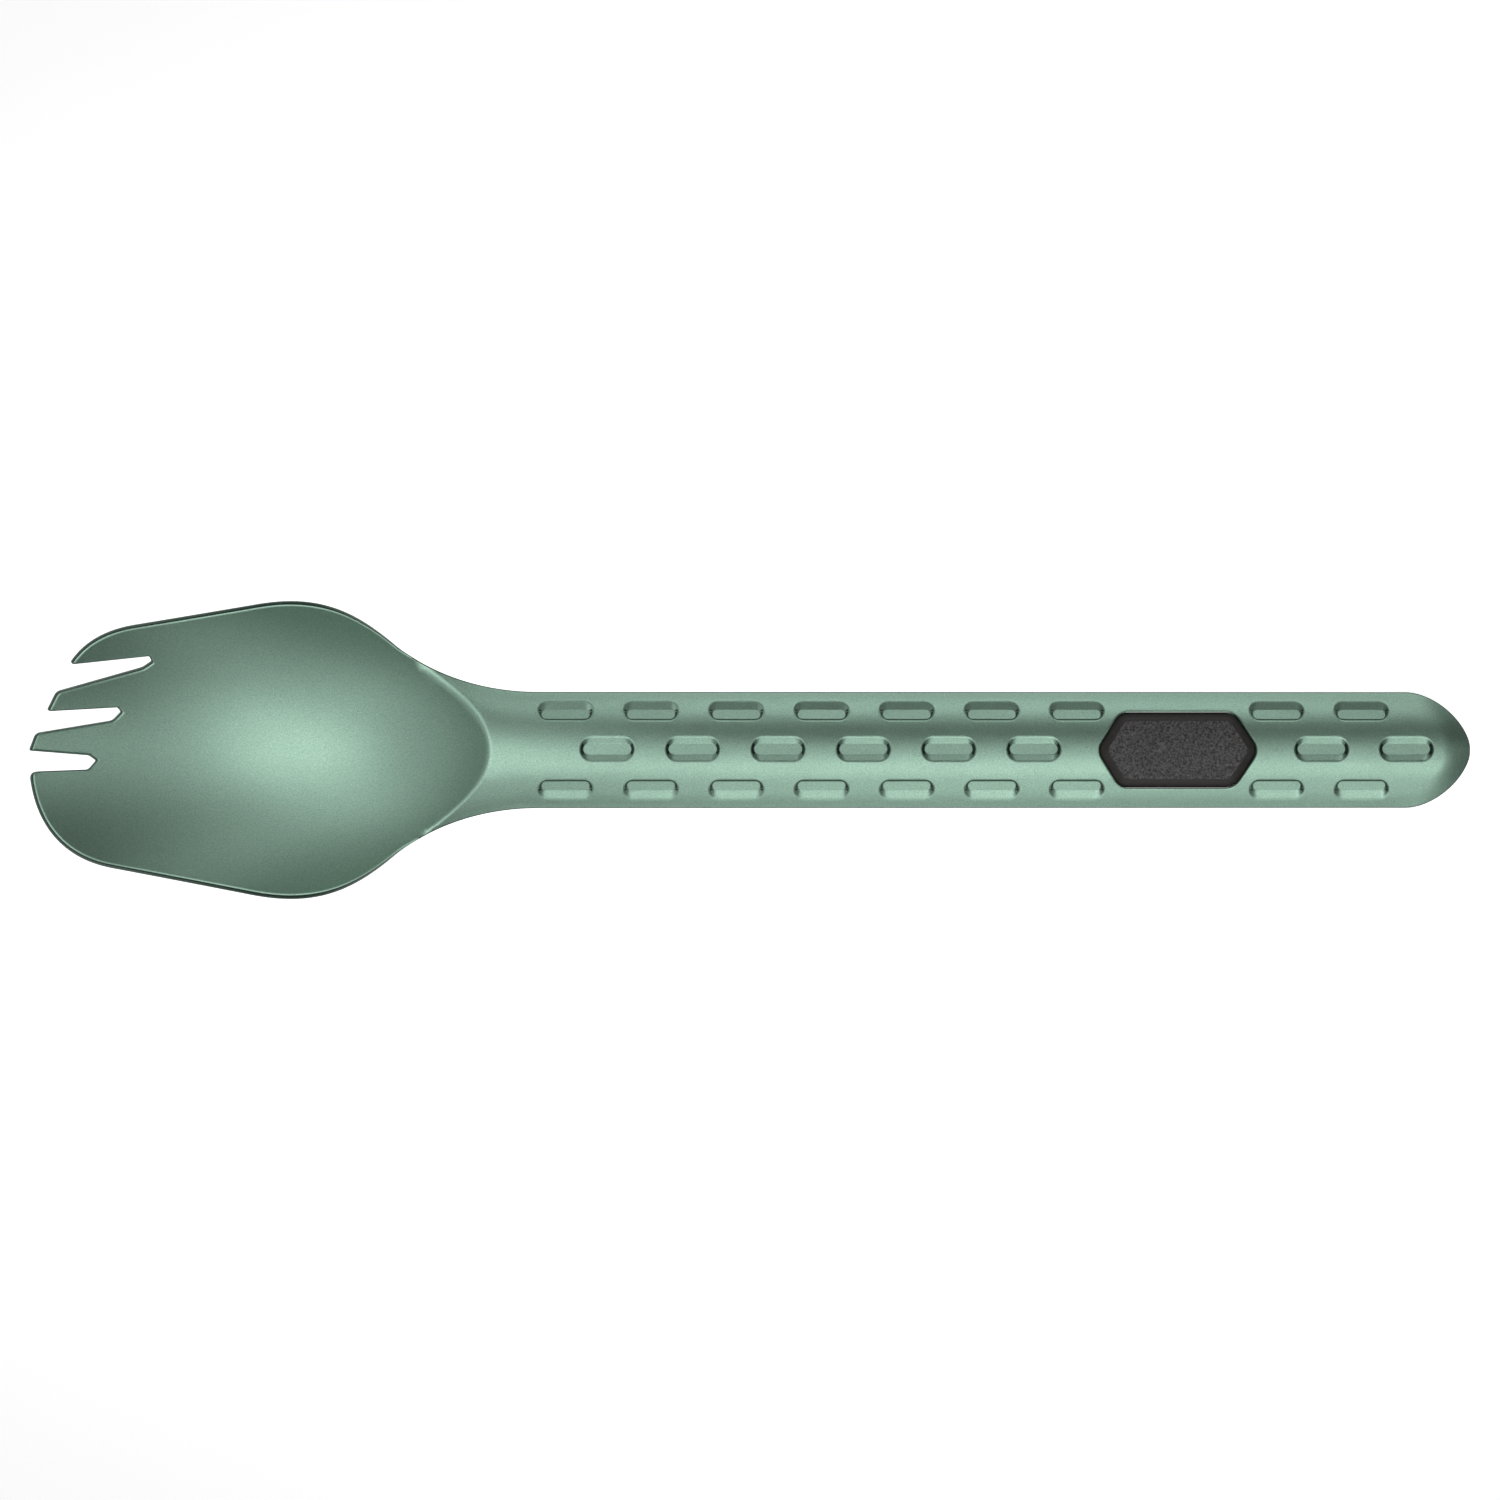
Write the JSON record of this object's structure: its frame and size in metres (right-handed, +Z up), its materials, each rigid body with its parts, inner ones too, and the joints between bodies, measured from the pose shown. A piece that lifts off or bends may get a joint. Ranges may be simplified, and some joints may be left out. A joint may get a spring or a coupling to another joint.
{
  "type": "cutlery multi-tool",
  "caption": "Sheet-metal spork with prongs on one side of a spoon bowl and a dimpled, arched handle, whose hollow back holds a flat steel tool with a rubber release peg.",
  "frame": {"origin": "centre of the bounding box on the table under the object, which lies bowl up", "axes": "+X from the bowl to the end of the handle, +Y to the side with the prongs, +Z up"},
  "size_m": [0.1918, 0.0398, 0.0117],
  "materials": {
    "coated_sheet": "bead-blasted and anodised, satin sage green",
    "tool_steel": "satin",
    "peg_rubber": "matt black, finely stippled face"
  },
  "bodies": {
    "multi_tool": {"tool_plate": "tool_steel", "release_peg": "peg_rubber"},
    "spork": {"spork": "coated_sheet"}
  },
  "joints": [
    {"name": "tool_release", "type": "slide", "parent": "multi_tool", "child": "spork", "axis": [0.0477, 0, 0.9989], "range_m": [0, 0.03]}
  ]
}
